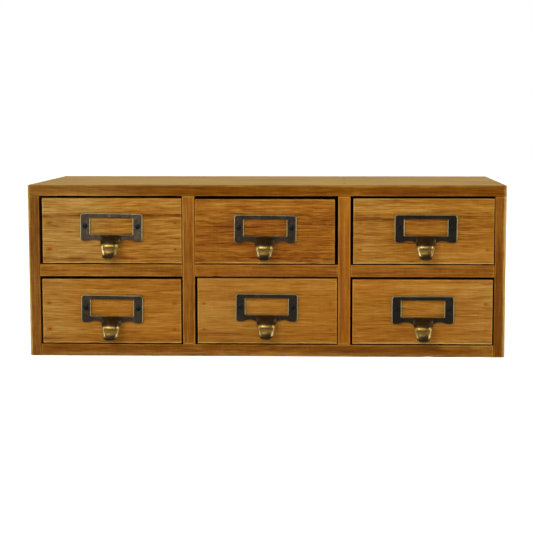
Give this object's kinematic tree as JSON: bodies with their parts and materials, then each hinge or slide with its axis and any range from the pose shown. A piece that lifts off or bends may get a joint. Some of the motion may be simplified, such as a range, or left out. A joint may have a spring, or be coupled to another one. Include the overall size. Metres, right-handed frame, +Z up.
{
  "type": "apothecary drawer cabinet",
  "caption": "Low wooden apothecary cabinet with two rows of small sliding drawers, each with an antique bronze card frame and bent finger pull.",
  "frame": {"origin": "centre of the bounding box's bottom face, on the surface that the cabinet stands on", "axes": "+X to the right along the cabinet's width as one faces the drawers, +Y from the drawer fronts to the back panel, +Z up; the drawers open towards -Y"},
  "size_m": [0.47, 0.217, 0.17],
  "materials": {
    "case_wood": "brown stained softwood, waxed to a dull satin",
    "front_wood": "honey stained softwood with a wire-brushed grain",
    "box_wood": "bare planed softwood",
    "plywood": "thin plywood, lightly stained",
    "bronze": "darkened bronze, rubbed bright on edges and on the pull's bend",
    "black_steel": "blackened steel screws"
  },
  "bodies": {
    "cabinet": {"top_board": "case_wood", "left_side": "case_wood", "right_side": "case_wood", "bottom_board": "case_wood", "left_divider": "case_wood", "right_divider": "case_wood", "left_shelf": "case_wood", "middle_shelf": "case_wood", "right_shelf": "case_wood", "back_panel": "plywood"},
    "upper_left_drawer": {"upper_left_drawer_front": "front_wood", "upper_left_drawer_side_left": "box_wood", "upper_left_drawer_side_right": "box_wood", "upper_left_drawer_back": "box_wood", "upper_left_drawer_bottom": "plywood", "upper_left_card_frame_pull": "bronze", "upper_left_screw_left": "black_steel", "upper_left_screw_right": "black_steel"},
    "upper_middle_drawer": {"upper_middle_drawer_front": "front_wood", "upper_middle_drawer_side_left": "box_wood", "upper_middle_drawer_side_right": "box_wood", "upper_middle_drawer_back": "box_wood", "upper_middle_drawer_bottom": "plywood", "upper_middle_card_frame_pull": "bronze", "upper_middle_screw_left": "black_steel", "upper_middle_screw_right": "black_steel"},
    "upper_right_drawer": {"upper_right_drawer_front": "front_wood", "upper_right_drawer_side_left": "box_wood", "upper_right_drawer_side_right": "box_wood", "upper_right_drawer_back": "box_wood", "upper_right_drawer_bottom": "plywood", "upper_right_card_frame_pull": "bronze", "upper_right_screw_left": "black_steel", "upper_right_screw_right": "black_steel"},
    "lower_left_drawer": {"lower_left_drawer_front": "front_wood", "lower_left_drawer_side_left": "box_wood", "lower_left_drawer_side_right": "box_wood", "lower_left_drawer_back": "box_wood", "lower_left_drawer_bottom": "plywood", "lower_left_card_frame_pull": "bronze", "lower_left_screw_left": "black_steel", "lower_left_screw_right": "black_steel"},
    "lower_middle_drawer": {"lower_middle_drawer_front": "front_wood", "lower_middle_drawer_side_left": "box_wood", "lower_middle_drawer_side_right": "box_wood", "lower_middle_drawer_back": "box_wood", "lower_middle_drawer_bottom": "plywood", "lower_middle_card_frame_pull": "bronze", "lower_middle_screw_left": "black_steel", "lower_middle_screw_right": "black_steel"},
    "lower_right_drawer": {"lower_right_drawer_front": "front_wood", "lower_right_drawer_side_left": "box_wood", "lower_right_drawer_side_right": "box_wood", "lower_right_drawer_back": "box_wood", "lower_right_drawer_bottom": "plywood", "lower_right_card_frame_pull": "bronze", "lower_right_screw_left": "black_steel", "lower_right_screw_right": "black_steel"}
  },
  "joints": [
    {"name": "upper_left_drawer_slide", "type": "slide", "parent": "cabinet", "child": "upper_left_drawer", "axis": [0, -1, 0], "range_m": [0, 0.15]},
    {"name": "upper_middle_drawer_slide", "type": "slide", "parent": "cabinet", "child": "upper_middle_drawer", "axis": [0, -1, 0], "range_m": [0, 0.15]},
    {"name": "upper_right_drawer_slide", "type": "slide", "parent": "cabinet", "child": "upper_right_drawer", "axis": [0, -1, 0], "range_m": [0, 0.15]},
    {"name": "lower_left_drawer_slide", "type": "slide", "parent": "cabinet", "child": "lower_left_drawer", "axis": [0, -1, 0], "range_m": [0, 0.15]},
    {"name": "lower_middle_drawer_slide", "type": "slide", "parent": "cabinet", "child": "lower_middle_drawer", "axis": [0, -1, 0], "range_m": [0, 0.15]},
    {"name": "lower_right_drawer_slide", "type": "slide", "parent": "cabinet", "child": "lower_right_drawer", "axis": [0, -1, 0], "range_m": [0, 0.15]}
  ]
}
